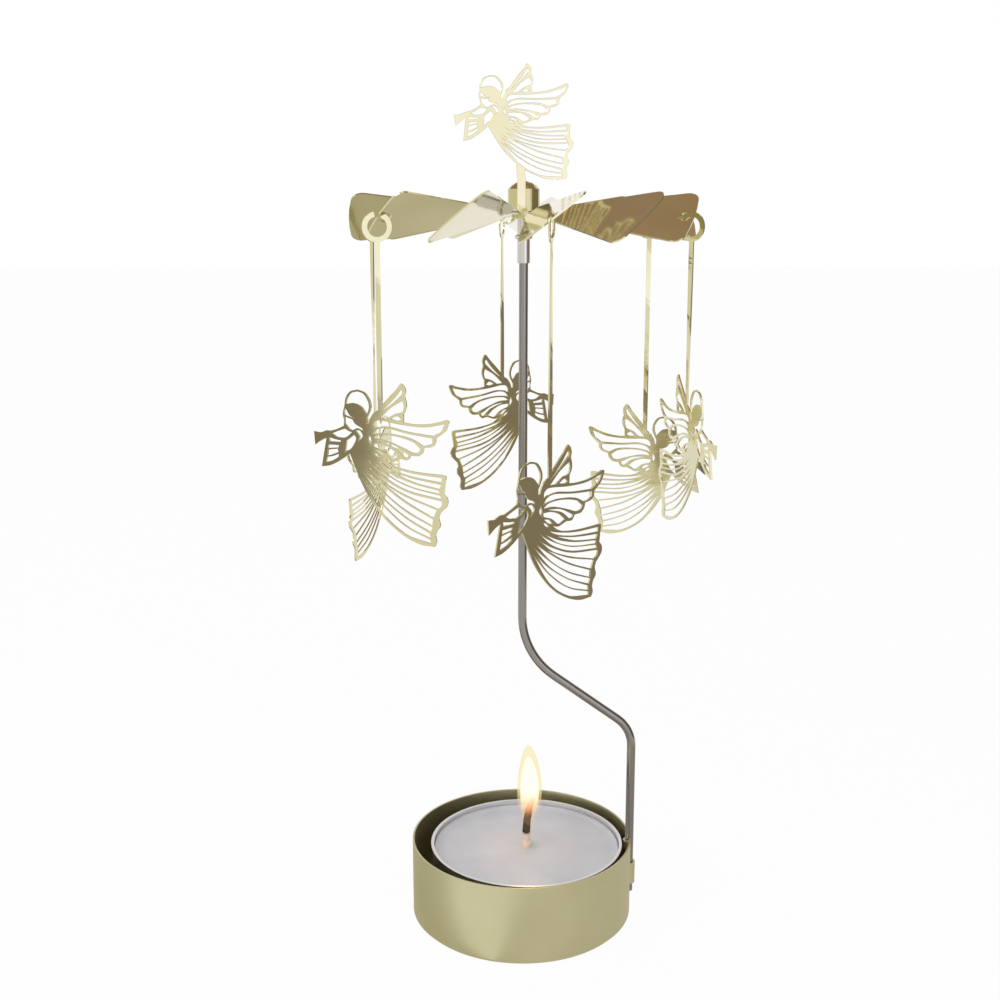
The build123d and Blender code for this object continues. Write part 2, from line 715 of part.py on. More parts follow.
with BuildPart() as top_angel:
    with BuildSketch(leaning):
        make_face(drawn(outline_shares, top_step))
        for opening in opening_shares:
            make_face(drawn(opening, top_step), mode=Mode.SUBTRACT)
    extrude(amount=sheet / 2, both=True)
    with BuildSketch(front):
        with BuildLine():
            Polyline(
                (strip_side - strip_width / 2, disc_top),
                (strip_side + strip_width / 2, disc_top),
                (strip_side + strip_width / 2, hub_top),
                (strip_ends[1].X, strip_ends[1].Y),
                (strip_ends[0].X, strip_ends[0].Y),
                (strip_side - strip_width / 2, hub_top),
                close=True,
            )
        make_face()
    extrude(amount=sheet / 2, both=True)
    with BuildSketch(Plane(origin=(0, 0, disc_top), x_dir=tangent(top_turn), z_dir=up)):
        Circle(foot_radius)
        with Locations((strip_side, 0)):
            Rectangle(strip_width, strip_reach + sheet / 2, align=(Align.CENTER, Align.MAX))
        Circle(seat_radius, mode=Mode.SUBTRACT)
    extrude(amount=sheet)
    crosswise = Axis((0, 0, 0), tangent(top_turn))
    fillet(top_angel.edges().filter_by(crosswise).group_by(Axis.Z)[1], radius=strip_bend)
    fillet(top_angel.edges().filter_by(crosswise).group_by(Axis.Z)[0], radius=strip_bend + sheet)
top_angel.part.label = "top_angel"
export_step(top_angel.part, "parts/top_angel.step")
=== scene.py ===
# %% [markdown]
# # A rotary candle holder with pierced angels
#
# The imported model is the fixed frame: cup, tealight, rod, pivot, propeller, six hanging angels and one
# standing on the hub. Blender's objects are in metres, in the model's own axes: +Z up, the front at -Y.
# Drawings and places are written in millimetres, and scaled when an object is made from them.
#
# The lesson sets the camera and gives every solid a procedural finish. It then redraws the angels, the
# wax and the wick, adds the flame, and ends with the light and the ground.

import json
from math import cos, radians, sin

import bpy
import numpy as np
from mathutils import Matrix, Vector


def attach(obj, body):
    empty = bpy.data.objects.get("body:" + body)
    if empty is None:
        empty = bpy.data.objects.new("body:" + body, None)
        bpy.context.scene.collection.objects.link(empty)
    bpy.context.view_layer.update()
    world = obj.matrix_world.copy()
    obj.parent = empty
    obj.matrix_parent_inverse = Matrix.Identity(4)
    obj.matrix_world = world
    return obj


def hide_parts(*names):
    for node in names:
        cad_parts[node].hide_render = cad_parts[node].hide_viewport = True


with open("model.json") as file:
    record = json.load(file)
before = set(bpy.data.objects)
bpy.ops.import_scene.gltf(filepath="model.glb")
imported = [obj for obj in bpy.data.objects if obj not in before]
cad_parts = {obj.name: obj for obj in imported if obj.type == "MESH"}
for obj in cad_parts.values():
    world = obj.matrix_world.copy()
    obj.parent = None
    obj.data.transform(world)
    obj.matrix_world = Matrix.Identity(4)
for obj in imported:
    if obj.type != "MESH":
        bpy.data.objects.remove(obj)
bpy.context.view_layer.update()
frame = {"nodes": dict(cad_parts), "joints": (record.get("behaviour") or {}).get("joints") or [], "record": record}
nodes = frame["nodes"]
mm = 0.001
print("nodes:", len(nodes))

# %% [markdown]
# ## The camera
#
# The photograph was taken from about the propeller's height, looking down by 12 degrees, from a quarter
# of a metre away. The cup's two rims fix the tilt, and the tealight's 38 mm the distance.

# %% The camera
camera_place = Vector((-4.4, -248.0, 138.8)) * mm
camera_pitch = radians(12)
camera_lens = 47.2
sensor_width = 36.0


def in_scene(name, data):
    """An object at the origin that holds a mesh, a camera or a light."""
    item = bpy.data.objects.new(name, data)
    bpy.context.scene.collection.objects.link(item)
    return item


camera_data = bpy.data.cameras.new("photo_camera")
camera_data.sensor_width = sensor_width
camera_data.lens = camera_lens
camera_data.clip_start = 1 * mm
camera = in_scene("photo_camera", camera_data)
camera.location = camera_place
camera.rotation_euler = (radians(90) - camera_pitch, 0, 0)
bpy.context.scene.camera = camera
bpy.context.scene.view_settings.view_transform = "Standard"
print("camera:", round(camera_place.length / mm), "mm from the origin, lens", camera_lens)

# %% [markdown]
# ## Shader maths as expressions
#
# A procedural material is mostly arithmetic on sockets. Wrapping a socket in a small class lets that
# arithmetic be written as Python expressions, each operator adding its own Math node.


# %% A class that wraps a socket
class Value:
    """A float socket of one material, with the operators that the finishes below use."""

    def __init__(self, shader, socket):
        self.shader = shader
        self.socket = socket

    def _math(self, operation, other, swap=False):
        pair = (other, self) if swap else (self, other)
        return self.shader.node("ShaderNodeMath", {"operation": operation}, dict(enumerate(pair)))

    def __add__(self, other):
        return self._math("ADD", other)

    __radd__ = __add__

    def __sub__(self, other):
        return self._math("SUBTRACT", other)

    def __rsub__(self, other):
        return self._math("SUBTRACT", other, swap=True)

    def __mul__(self, other):
        return self._math("MULTIPLY", other)

    __rmul__ = __mul__

    def __truediv__(self, other):
        return self._math("DIVIDE", other)

    def above(self, limit, softness):
        """0 below the limit and 1 above it, with a soft step of the given width."""
        return self.shader.node(
            "ShaderNodeMapRange",
            {"interpolation_type": "SMOOTHSTEP"},
            {"Value": self, "From Min": limit - softness / 2, "From Max": limit + softness / 2},
        )


# %% [markdown]
# The second class is one material. It adds nodes, feeds them from values or plain numbers, and offers
# the four things that the finishes are made of: noise, height, a blend of two colours, and a bump.


# %% A class for one material
class Shader:
    """One node material, ending in a Principled shader."""

    def __init__(self, name):
        self.material = bpy.data.materials.new(name)
        self.material.use_nodes = True
        self.tree = self.material.node_tree
        self.base = self.tree.nodes["Principled BSDF"]
        self.output = self.tree.nodes["Material Output"]
        self.place = self.node("ShaderNodeTexCoord", {}, {}, "Object")

    def feed(self, socket, value):
        """Links a value to a socket, or sets the socket to a plain number or colour."""
        if isinstance(value, Value):
            self.tree.links.new(value.socket, socket)
        else:
            socket.default_value = value

    def node(self, kind, settings, inputs, output=0):
        """Adds a node, sets it, feeds its sockets and returns one of its outputs."""
        made = self.tree.nodes.new(kind)
        for key, value in settings.items():
            setattr(made, key, value)
        for key, value in inputs.items():
            self.feed(made.inputs[key], value)
        return Value(self, made.outputs[output])

    def set(self, **inputs):
        """Feeds the Principled shader: Base_Color=..., Roughness=... and so on."""
        for key, value in inputs.items():
            self.feed(self.base.inputs[key.replace("_", " ")], value)

    def noise(self, scale, detail=3.0, stretch=(1, 1, 1)):
        """Noise in object space, with a scale in features per metre along each axis."""
        scales = tuple(scale * share for share in stretch)
        place = self.node("ShaderNodeMapping", {}, {"Vector": self.place, "Scale": scales})
        return self.node("ShaderNodeTexNoise", {}, {"Vector": place, "Scale": 1.0, "Detail": detail})

    def height(self):
        """Height above the table in metres, which is Z in object space."""
        return self.node("ShaderNodeSeparateXYZ", {}, {"Vector": self.place}, "Z")

    def blend(self, factor, low, high):
        """A colour between two others. A Mix node's colours go into sockets 6 and 7 and leave by 2."""
        return self.node("ShaderNodeMix", {"data_type": "RGBA"}, {0: factor, 6: low, 7: high}, output=2)

    def bump(self, height, strength, distance):
        """A normal that follows a height, which 0 to 1 stretch over the distance in metres."""
        return self.node(
            "ShaderNodeBump", {}, {"Height": height, "Strength": strength, "Distance": distance}
        )


def rgb(red, green, blue):
    """A colour as a screen shows it, 0 to 255, made linear: ((v + 0.055) / 1.055) to the power 2.4."""
    shown = np.array((red, green, blue)) / 255
    linear = np.where(shown > 0.04, ((shown + 0.055) / 1.055) ** 2.4, shown / 12.92)
    return (*linear.tolist(), 1.0)


black = rgb(0, 0, 0)

# %% [markdown]
# ## The sheet and the tin
#
# The propeller and the angels are one kind of sheet: steel with a pale gold wash, which mirrors softly.
# What changes over it is faint: a cloudy tone from the wash, and fine marks from the rolling mill.
# Clear lacquer lies over it, so that a blade seen at a low angle turns from gold to silver. The cup has
# the same wash on a duller ground, and mirrors in a wide blur.


# %% Sheet and tin
def gold_sheet():
    """Propeller and angels: bright, with slow waves and faint marks from the rolling."""
    shader = Shader("gold_sheet")
    clouds = shader.noise(60, detail=2)
    rolled = shader.noise(900, detail=2, stretch=(0.06, 0.06, 1))
    shader.set(
        Base_Color=shader.blend(clouds.above(0.5, 0.5), rgb(206, 198, 150), rgb(218, 211, 170)),
        Metallic=1.0,
        Roughness=0.05 + clouds * 0.05,
        Coat_Weight=0.7,
        Coat_Roughness=0.04,
        Normal=shader.bump(clouds + rolled * 0.03, 0.5, 0.15 * mm),
    )
    return shader.material


def drawn_tin():
    """The cup: the same gold wash, drawn upwards, which leaves fine upright streaks."""
    shader = Shader("drawn_tin")
    clouds = shader.noise(45, detail=3)
    streaks = shader.noise(1500, detail=2, stretch=(1, 1, 0.03))
    shader.set(
        Base_Color=shader.blend(clouds.above(0.5, 0.6), rgb(198, 193, 152), rgb(212, 208, 172)),
        Metallic=1.0,
        Roughness=0.34 + clouds * 0.1 + streaks * 0.05,
        Normal=shader.bump(streaks, 0.08, 0.02 * mm),
    )
    return shader.material


# %% [markdown]
# ## Wire, sleeve, hub and aluminium
#
# Each way of working leaves its own marks. A drawn wire has them along it, so its noise is stretched
# upwards, and a turned piece has them around it, so its noise is stretched sideways. Pressed aluminium
# is crinkled all over.


# %% The other metals
def steel_wire():
    """The rod: grey drawn wire, with long fine marks along it."""
    shader = Shader("steel_wire")
    marks = shader.noise(2500, detail=2, stretch=(1, 1, 0.02))
    shader.set(
        Base_Color=shader.blend(marks, rgb(134, 129, 123), rgb(154, 149, 142)),
        Metallic=1.0,
        Roughness=0.1 + marks * 0.08,
        Normal=shader.bump(marks, 0.04, 0.02 * mm),
    )
    return shader.material


def bright_steel():
    """Sleeve and needle: turned and polished."""
    shader = Shader("bright_steel")
    rings = shader.noise(3000, detail=1, stretch=(0.02, 0.02, 1))
    shader.set(
        Base_Color=rgb(204, 200, 192),
        Metallic=1.0,
        Roughness=0.06 + rings * 0.06,
        Normal=shader.bump(rings, 0.05, 0.01 * mm),
    )
    return shader.material


def turned_brass():
    """The hub: brass from the lathe, with fine rings around it."""
    shader = Shader("turned_brass")
    rings = shader.noise(2500, detail=2, stretch=(0.02, 0.02, 1))
    shader.set(
        Base_Color=shader.blend(rings, rgb(184, 174, 122), rgb(206, 198, 150)),
        Metallic=1.0,
        Roughness=0.08 + rings * 0.08,
        Normal=shader.bump(rings, 0.08, 0.02 * mm),
    )
    return shader.material


def pressed_aluminium():
    """The tealight's cup and the wick's clip: thin and crinkled."""
    shader = Shader("pressed_aluminium")
    crinkle = shader.noise(400, detail=3)
    shader.set(
        Base_Color=rgb(226, 226, 228),
        Metallic=1.0,
        Roughness=0.25 + crinkle * 0.15,
        Normal=shader.bump(crinkle, 0.15, 0.05 * mm),
    )
    return shader.material


def hard_bearing():
    """The bearing in the hub: hardened steel, ground dull."""
    shader = Shader("hard_bearing")
    grain = shader.noise(2000, detail=1)
    shader.set(Base_Color=rgb(150, 150, 152), Metallic=1.0, Roughness=0.3 + grain * 0.1)
    return shader.material


# %% [markdown]
# ## The tealight
#
# Wax is pale and a little cloudy, and light sinks into it before it comes back, which subsurface
# scattering does. The wick is a cotton cord: pale where it is soaked, charred above, with an ember's
# glow at its tip. The tip emits that glow, and the glow is also painted into the tip's colour as a painted glow.

# %% Wax and wick
soaked_to = 16.7 * mm
painted_ember_from = 21.8 * mm
glow_from = 22.6 * mm


def candle_wax():
    """The wax: matt and faintly blue, with a fine grain."""
    shader = Shader("candle_wax")
    clouds = shader.noise(120, detail=3)
    grain = shader.noise(1500, detail=2)
    shader.set(
        Base_Color=shader.blend(clouds.above(0.5, 0.6), rgb(200, 202, 209), rgb(212, 214, 220)),
        Roughness=0.42 + grain * 0.1,
        Subsurface_Weight=0.35,
        Subsurface_Scale=1.5 * mm,
        Normal=shader.bump(grain, 0.1, 0.03 * mm),
    )
    return shader.material


def charred_wick():
    """The wick: its colour changes with height, at limits that the braid makes uneven; the tip's orange is a
    painted glow.
    """
    shader = Shader("charred_wick")
    braid = shader.noise(2500, detail=2)
    height = shader.height()
    charred = shader.blend(braid, rgb(22, 14, 12), rgb(52, 36, 30))
    # Painted glow: the tip's own colour is painted ember orange, under and beside the light that it emits.
    painted_ember_glow = shader.blend(braid, rgb(120, 52, 22), rgb(176, 84, 34))
    soaked = shader.blend(braid, rgb(232, 206, 180), rgb(244, 226, 206))
    upper = shader.blend((height + braid * (2 * mm)).above(painted_ember_from, 2.4 * mm), charred, painted_ember_glow)
    glow = (height + braid * (1 * mm)).above(glow_from, 3 * mm)
    shader.set(
        Base_Color=shader.blend(height.above(soaked_to, 0.7 * mm), soaked, upper),
        Roughness=0.85,
        Emission_Color=shader.blend(glow, black, rgb(214, 96, 28)),
        Emission_Strength=0.8,
        Normal=shader.bump(braid, 0.4, 0.08 * mm),
    )
    return shader.material


# %% [markdown]
# ## A finish for every solid
#
# The record gives each solid a material slot. One table says which finish a slot gets, and the loop
# gives it to every solid, also to those that are redrawn below.

# %% The finish of each node
finish_by_slot = {
    "cup_tin": drawn_tin(),
    "steel_wire": steel_wire(),
    "bright_steel": bright_steel(),
    "tealight_aluminium": pressed_aluminium(),
    "wax": candle_wax(),
    "wick": charred_wick(),
    "hub_brass": turned_brass(),
    "bearing": hard_bearing(),
    "gold_sheet": gold_sheet(),
}
for subpart in frame["record"]["subparts"]:
    node = nodes[subpart["node"]]
    node.data.materials.clear()
    node.data.materials.append(finish_by_slot[subpart["material_slot"]])
print("finishes:", len(finish_by_slot))

# %% [markdown]
# ## Meshes from numpy
#
# Most forms here are a grid of points: rows that follow each other along the form, and columns that
# close around it. Point (i, j) is number i * columns + j, so the faces are plain arithmetic on arrays.
# Where a form ends in a point, that point is a pole, and a fan of triangles closes it.


# %% Grids of points
def mesh_piece(name, points, faces, material, body, smooth=True):
    """An object at the origin from points (N x 3, millimetres) and faces, riding on a body."""
    mesh = bpy.data.meshes.new(name)
    mesh.from_pydata((points * mm).tolist(), [], faces)
    mesh.polygons.foreach_set("use_smooth", [smooth] * len(mesh.polygons))
    mesh.materials.append(material)
    piece = in_scene(name, mesh)
    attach(piece, body)
    return piece


def grid_faces(rows, columns):
    """Quads of a grid that is open along its rows and closed around its columns."""
    i, j = np.meshgrid(np.arange(rows - 1), np.arange(columns), indexing="ij")
    here, right = i * columns + j, i * columns + (j + 1) % columns
    return np.stack([here, right, right + columns, here + columns], -1).reshape(-1, 4).tolist()


def closed_faces(rows, columns):
    """The grid's quads and two fans, from the poles that follow its points: the first, then the last."""
    count = rows * columns
    j = np.arange(columns)
    following = (j + 1) % columns
    first_pole, last_pole = np.full(columns, count), np.full(columns, count + 1)
    start = count - columns
    fans = [
        np.stack([first_pole, following, j], -1),
        np.stack([last_pole, start + j, start + following], -1),
    ]
    return grid_faces(rows, columns) + np.vstack(fans).tolist()


# %% [markdown]
# ## The pierced angels
#
# Each angel is one flat cut-out: an outline and thirty or so openings that leave thin bars of metal.
# The solids draw it in straight strokes. Here the same points are joined by curves that pass
# through them, so that feathers and pleats read as cut with a die, and the edge gets a tiny round.

# %% The figure's points, in millimetres right of and below the stem's end
stem_half = 0.45
stub = 1.2

figure_outline = [
    [(stem_half, -stub), (stem_half, -0.4)],
    [(stem_half, -0.4), (1.9, -1.85), (3.4, -3.2), (4.35, -4.25)],
    [(4.35, -4.25), (4.75, -4.45), (5.35, -3.9), (5.62, -3.1), (5.4, -2.15)],
    [(5.4, -2.15), (5.72, -1.1), (5.65, -0.1), (5.1, 0.85)],
    [(5.1, 0.85), (5.05, 2.3)],
    [(5.05, 2.3), (7.0, 2.42), (9.6, 2.28), (12.2, 1.75), (13.9, 1.2)],
    [(13.9, 1.2), (14.6, 1.35), (14.4, 2.2), (13.6, 3.4), (11.85, 4.65)],
    [(11.85, 4.65), (11.8, 5.3), (11.1, 6.1), (9.4, 6.4)],
    [(9.4, 6.4), (9.15, 7.2), (8.3, 7.95), (6.6, 8.05)],
    [(6.6, 8.05), (5.8, 8.92), (4.3, 8.85)],
    [(4.3, 8.85), (2.4, 9.42), (0.95, 9.2)],
    [(0.95, 9.2), (2.2, 9.95), (4.2, 10.5), (8.0, 10.82), (13.0, 10.8)],
    [(13.0, 10.8), (13.9, 11.05), (13.7, 12.6), (13.5, 14.1)],
    [(13.5, 14.1), (14.2, 14.95), (14.1, 16.2), (12.6, 17.7)],
    [(12.6, 17.7), (12.35, 18.6), (12.65, 19.9), (11.9, 20.9)],
    [(11.9, 20.9), (11.65, 21.8), (11.85, 22.9), (11.4, 23.8)],
    [(11.4, 23.8), (8.0, 23.7), (4.0, 22.25), (0.0, 19.5), (-3.9, 14.95), (-6.95, 8.95)],
    [(-6.95, 8.95), (-9.2, 10.4), (-11.5, 11.5), (-13.55, 11.9)],
    [(-13.55, 11.9), (-12.3, 6.55)],
    [(-12.3, 6.55), (-13.6, 7.15), (-14.95, 8.05)],
    [(-14.95, 8.05), (-15.15, 5.5)],
    [(-15.15, 5.5), (-13.6, 5.55), (-12.2, 5.1)],
    [(-12.2, 5.1), (-11.2, 5.05), (-9.8, 4.65), (-8.2, 3.95)],
    [(-8.2, 3.95), (-8.1, 3.0), (-8.35, 1.8), (-7.95, 0.3)],
    [(-7.95, 0.3), (-7.6, -1.2), (-6.6, -2.35), (-4.95, -2.8)],
    [(-4.95, -2.8), (-3.3, -2.35), (-2.25, -1.15), (-1.95, 0.3), (-2.6, 1.7)],
    [(-2.6, 1.7), (-2.95, 2.2)],
    [(-2.95, 2.2), (-2.95, 3.1)],
    [(-2.95, 3.1), (-2.55, 3.1)],
    [(-2.55, 3.1), (-2.3, 2.3), (-1.5, 1.2), (-stem_half, 0.55)],
    [(-stem_half, 0.55), (-stem_half, -stub)],
    [(-stem_half, -stub), (stem_half, -stub)],
]

figure_openings = [
    # halo
    [
        [(-7.5, -0.1), (-7.1, -1.2), (-6.2, -2.1), (-4.95, -2.42)],
        [(-4.95, -2.42), (-3.7, -2.1), (-2.75, -1.0), (-2.45, 0.2), (-2.9, 1.45)],
        [(-2.9, 1.45), (-4.2, 0.15), (-5.8, -0.3), (-7.5, -0.1)],
    ],
    # brow
    [
        [(-7.7, 0.75), (-7.98, 1.35), (-7.9, 1.95)],
        [(-7.9, 1.95), (-5.85, 2.42)],
        [(-5.85, 2.42), (-6.9, 1.9), (-7.7, 0.75)],
    ],
    # cheek
    [
        [(-7.88, 2.3), (-6.2, 2.7)],
        [(-6.2, 2.7), (-5.6, 3.45), (-4.05, 4.1)],
        [(-4.05, 4.1), (-3.85, 4.5)],
        [(-3.85, 4.5), (-5.2, 4.15), (-6.5, 4.6), (-7.85, 3.5)],
        [(-7.85, 3.5), (-7.88, 2.3)],
    ],
    # collar
    [
        [(-5.5, 4.6), (-4.55, 4.6), (-3.98, 5.5), (-4.9, 6.5)],
        [(-4.9, 6.5), (-4.62, 5.6), (-5.5, 4.6)],
    ],
    # between trumpet and arm
    [
        [(-6.4, 5.0), (-7.1, 4.85), (-7.9, 4.5)],
        [(-7.9, 4.5), (-9.3, 4.95), (-10.9, 5.6)],
        [(-10.9, 5.6), (-9.6, 6.1), (-7.8, 6.0), (-6.4, 5.0)],
    ],
    # between arm and body
    [
        [(-5.8, 5.45), (-5.5, 6.2), (-6.5, 7.8), (-8.0, 8.85)],
        [(-8.0, 8.85), (-7.55, 6.6)],
        [(-7.55, 6.6), (-5.8, 5.45)],
    ],
    # sleeve
    [
        [(-11.6, 6.35), (-10.2, 6.6), (-9.0, 6.7)],
        [(-9.0, 6.7), (-9.0, 6.98)],
        [(-9.0, 6.98), (-11.5, 7.05)],
        [(-11.5, 7.05), (-11.6, 6.35)],
    ],
    [
        [(-11.75, 7.7), (-9.45, 7.6)],
        [(-9.45, 7.6), (-9.55, 8.0)],
        [(-9.55, 8.0), (-11.85, 8.3)],
        [(-11.85, 8.3), (-11.75, 7.7)],
    ],
    [
        [(-11.95, 8.65), (-9.75, 8.3)],
        [(-9.75, 8.3), (-9.55, 8.85)],
        [(-9.55, 8.85), (-10.8, 9.35), (-12.05, 9.65)],
        [(-12.05, 9.65), (-11.95, 8.65)],
    ],
    [
        [(-12.15, 10.0), (-10.8, 9.72), (-9.5, 9.25)],
        [(-9.5, 9.25), (-9.6, 9.75)],
        [(-9.6, 9.75), (-10.9, 10.5), (-12.45, 10.95)],
        [(-12.45, 10.95), (-12.15, 10.0)],
    ],
    # upper wing
    [
        [(0.35, 0.75), (1.9, -0.6), (3.2, -1.8), (4.55, -3.4)],
        [(4.55, -3.4), (4.88, -3.0), (4.7, -2.45)],
        [(4.7, -2.45), (2.6, -0.75), (0.35, 0.75)],
    ],
    [
        [(0.05, 1.93), (2.4, -0.05), (4.9, -1.4)],
        [(4.9, -1.4), (5.15, -0.4), (4.85, 0.55)],
        [(4.85, 0.55), (3.1, 1.05), (1.55, 1.93)],
        [(1.55, 1.93), (0.05, 1.93)],
    ],
    [
        [(2.45, 1.9), (3.7, 1.33), (4.6, 1.9)],
        [(4.6, 1.9), (3.6, 2.1), (2.45, 1.9)],
    ],
    # feathers of the lower wing
    [
        [(-1.55, 3.95), (-1.4, 2.95), (0.0, 2.38), (4.5, 2.78), (9.5, 2.8), (13.7, 1.95)],
        [(13.7, 1.95), (12.9, 3.3), (11.3, 4.15)],
        [(11.3, 4.15), (6.0, 3.87), (2.0, 3.32), (-0.4, 3.52), (-1.55, 3.95)],
    ],
    [
        [(-1.65, 4.95), (-0.6, 3.98), (1.5, 3.66), (6.0, 4.25), (11.1, 4.62)],
        [(11.1, 4.62), (11.0, 5.55), (9.15, 6.1)],
        [(9.15, 6.1), (6.5, 5.0), (2.5, 4.55), (-0.2, 4.65), (-1.65, 4.95)],
    ],
    [
        [(-1.6, 5.68), (-0.2, 5.0), (3.0, 4.9), (6.8, 5.55), (8.6, 6.7)],
        [(8.6, 6.7), (8.1, 7.35), (6.9, 7.5)],
        [(6.9, 7.5), (4.0, 6.55), (1.0, 5.75), (-1.6, 5.68)],
    ],
    [
        [(-0.5, 6.05), (2.8, 6.5), (6.0, 7.95)],
        [(6.0, 7.95), (5.8, 8.4), (5.1, 8.45)],
        [(5.1, 8.45), (3.0, 7.0), (-0.5, 6.05)],
    ],
    [
        [(-1.65, 6.5), (0.5, 6.62), (2.6, 7.4), (4.0, 8.45)],
        [(4.0, 8.45), (2.3, 8.95), (0.6, 7.85), (-1.6, 7.1)],
        [(-1.6, 7.1), (-1.65, 6.5)],
    ],
    [
        [(-1.4, 7.65), (-0.2, 7.85), (0.7, 8.65)],
        [(0.7, 8.65), (-0.3, 8.45), (-1.4, 7.65)],
    ],
    [
        [(-1.6, 8.2), (-0.85, 8.45), (-0.15, 9.1)],
        [(-0.15, 9.1), (-1.05, 8.85), (-1.6, 8.2)],
    ],
    # shoulder
    [
        [(-2.35, 5.15), (-2.05, 6.1), (-2.1, 7.0)],
        [(-2.1, 7.0), (-2.7, 6.1), (-2.35, 5.15)],
    ],
    # pleats of the skirt, from the back seam to the front hem
    [
        [(0.0, 9.92), (2.6, 10.55), (7.0, 11.2), (13.0, 11.35)],
        [(13.0, 11.35), (13.0, 12.15)],
        [(13.0, 12.15), (6.5, 11.72), (2.2, 10.85), (0.0, 9.92)],
    ],
    [
        [(2.0, 11.2), (7.0, 12.1), (12.9, 12.6)],
        [(12.9, 12.6), (12.5, 13.35)],
        [(12.5, 13.35), (7.0, 12.68), (2.0, 11.2)],
    ],
    [
        [(-0.7, 10.55), (2.5, 11.9), (7.0, 13.02), (12.4, 13.65)],
        [(12.4, 13.65), (12.5, 14.2)],
        [(12.5, 14.2), (7.0, 13.65), (2.5, 12.4), (-0.7, 10.55)],
    ],
    [
        [(-2.3, 10.15), (1.0, 11.98), (6.0, 13.7), (12.6, 14.5)],
        [(12.6, 14.5), (12.9, 15.1)],
        [(12.9, 15.1), (6.0, 14.35), (1.0, 12.6), (-2.3, 10.15)],
    ],
    [
        [(-2.2, 11.35), (1.0, 13.05), (6.0, 14.75), (13.0, 15.5)],
        [(13.0, 15.5), (12.9, 16.35), (12.1, 16.9)],
        [(12.1, 16.9), (6.0, 15.4), (1.0, 13.6), (-2.2, 11.35)],
    ],
    [
        [(-0.2, 13.35), (5.0, 15.45), (11.9, 17.15)],
        [(11.9, 17.15), (11.2, 18.6)],
        [(11.2, 18.6), (5.0, 16.25), (-0.2, 13.35)],
    ],
    [
        [(-3.2, 11.8), (0.3, 14.0), (5.0, 16.6), (11.1, 18.9)],
        [(11.1, 18.9), (10.95, 20.05)],
        [(10.95, 20.05), (5.0, 17.85), (0.3, 15.05), (-3.2, 11.8)],
    ],
    [
        [(-3.7, 12.35), (0.0, 15.1), (5.0, 18.15), (11.0, 20.35)],
        [(11.0, 20.35), (10.6, 21.2)],
        [(10.6, 21.2), (5.0, 19.1), (0.0, 16.0), (-3.7, 12.35)],
    ],
    [
        [(-3.2, 13.75), (0.0, 16.35), (5.0, 19.35), (10.4, 21.55)],
        [(10.4, 21.55), (10.5, 22.35)],
        [(10.5, 22.35), (5.0, 20.6), (0.0, 17.2), (-3.2, 13.75)],
    ],
    [
        [(-4.1, 13.35), (0.0, 17.5), (5.0, 20.85), (10.5, 22.65)],
        [(10.5, 22.65), (10.6, 23.25)],
        [(10.6, 23.25), (5.0, 22.2), (0.0, 18.9), (-4.1, 13.35)],
    ],
]

# %% [markdown]
# ## Curves through the points
#
# A run of points is smoothed with a cubic whose slope at each point is half the way between its two
# neighbours. Runs meet in corners, so a feather's tip stays sharp while its sides curve.

# %% Smoothing a drawing
strokes_per_span = 5


def smooth_run(run, strokes):
    """Points from each start p to its end q at t in [0, 1): p + (q - p) t + (a (1 - t) - b t) t (1 - t).

    a is the start's slope less the straight one and b the end's, with slopes (next - previous) / 2.
    """
    points = np.array(run, dtype=float)
    if len(points) == 2:
        return points[:1]
    around = np.vstack([2 * points[0] - points[1], points, 2 * points[-1] - points[-2]])
    t = (np.arange(strokes) / strokes)[None, :, None]
    start, end = around[1:-2, None], around[2:-1, None]
    leaving = (end - around[:-3, None]) / 2 - (end - start)
    arriving = (around[3:, None] - start) / 2 - (end - start)
    return (start + (end - start) * t + (leaving * (1 - t) - arriving * t) * t * (1 - t)).reshape(-1, 2)


def closed_line(runs):
    """One closed line of N x 2 points, turned so that Y is up."""
    return np.vstack([smooth_run(run, strokes_per_span) for run in runs]) * (1, -1)


figure_loops = [closed_line(figure_outline)] + [closed_line(runs) for runs in figure_openings]
print("figure: loops", len(figure_loops), "points", sum(len(loop) for loop in figure_loops))

# %% [markdown]
# ## From a drawing to a sheet
#
# Blender fills a flat curve with holes by itself, and gives it a thickness and a rounded edge. The mesh
# is taken from the curve, and one product of matrices stands all its points where the sheet hangs.

# %% Cutting a sheet
up = np.array((0.0, 0.0, 1.0))
sheet_thickness = 0.3
edge_round = 0.04


def cut_sheet(loops, origin, along, upwards, thickness=sheet_thickness):
    """Points and faces of a sheet with openings, cut from closed lines (millimetres, X right, Y up).

    The point (x, y, z) of the flat sheet goes to origin + x along + y upwards + z (along x upwards).
    """
    curve = bpy.data.curves.new("cut_sheet", "CURVE")
    curve.dimensions = "2D"
    curve.fill_mode = "BOTH"
    curve.extrude = thickness / 2 - edge_round
    curve.bevel_depth = edge_round
    curve.offset = -edge_round
    curve.bevel_resolution = 0
    for loop in loops:
        spline = curve.splines.new("POLY")
        spline.points.add(len(loop) - 1)
        flat = np.column_stack([loop, np.zeros(len(loop)), np.ones(len(loop))])
        spline.points.foreach_set("co", flat.ravel())
        spline.use_cyclic_u = True
    holder = bpy.data.objects.new("cut_sheet", curve)
    mesh = bpy.data.meshes.new_from_object(holder)
    bpy.data.objects.remove(holder)
    flat = np.empty(len(mesh.vertices) * 3)
    mesh.vertices.foreach_get("co", flat)
    faces = [list(face.vertices) for face in mesh.polygons]
    bpy.data.meshes.remove(mesh)
    axes = np.array([along, upwards, np.cross(along, upwards)])
    return origin + flat.reshape(-1, 3) @ axes, faces


def joined(parts):
    """One pair of points and faces from several."""
    starts = np.cumsum([0] + [len(points) for points, faces in parts]).tolist()
    faces = [[index + start for index in face] for start, part in zip(starts, parts) for face in part[1]]
    return np.vstack([points for points, faces in parts]), faces


